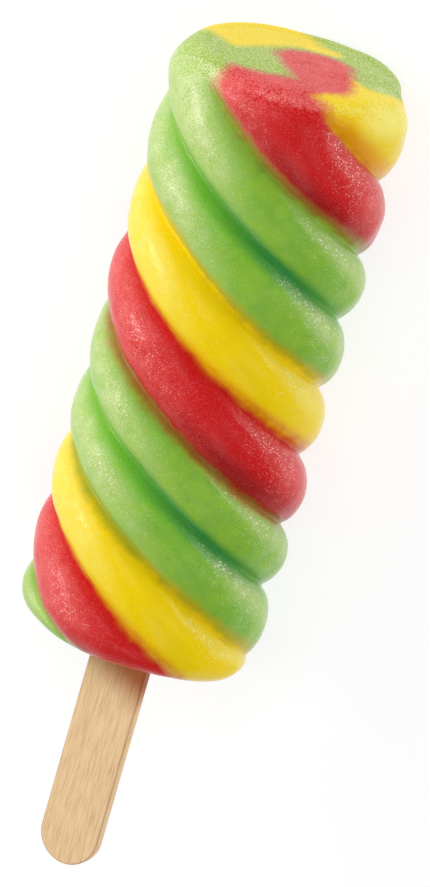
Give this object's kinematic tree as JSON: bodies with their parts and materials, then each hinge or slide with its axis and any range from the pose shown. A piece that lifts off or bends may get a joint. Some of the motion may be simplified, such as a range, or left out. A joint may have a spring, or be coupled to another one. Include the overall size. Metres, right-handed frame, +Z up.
{
  "type": "ice lolly",
  "caption": "Twisted fruit water-ice lolly of green, yellow and red strands on a flat wooden stick, lying on its back.",
  "frame": {"origin": "centre of the whole lolly's footprint, on the surface that it lies on", "axes": "+Y along the lolly towards its cut top, -Y towards the stick's free end, +Z up out of the shown side"},
  "size_m": [0.0376, 0.1325, 0.0372],
  "materials": {
    "green_ice": "satin, frosted",
    "yellow_ice": "satin, frosted",
    "red_ice": "satin, frosted",
    "wood": "plain sawn birch"
  },
  "bodies": {
    "root": {"green_strand_upper": "green_ice", "green_strand_lower": "green_ice", "yellow_strand": "yellow_ice", "red_strand_and_core": "red_ice", "yellow_top_patch": "yellow_ice", "stick": "wood"}
  },
  "joints": []
}
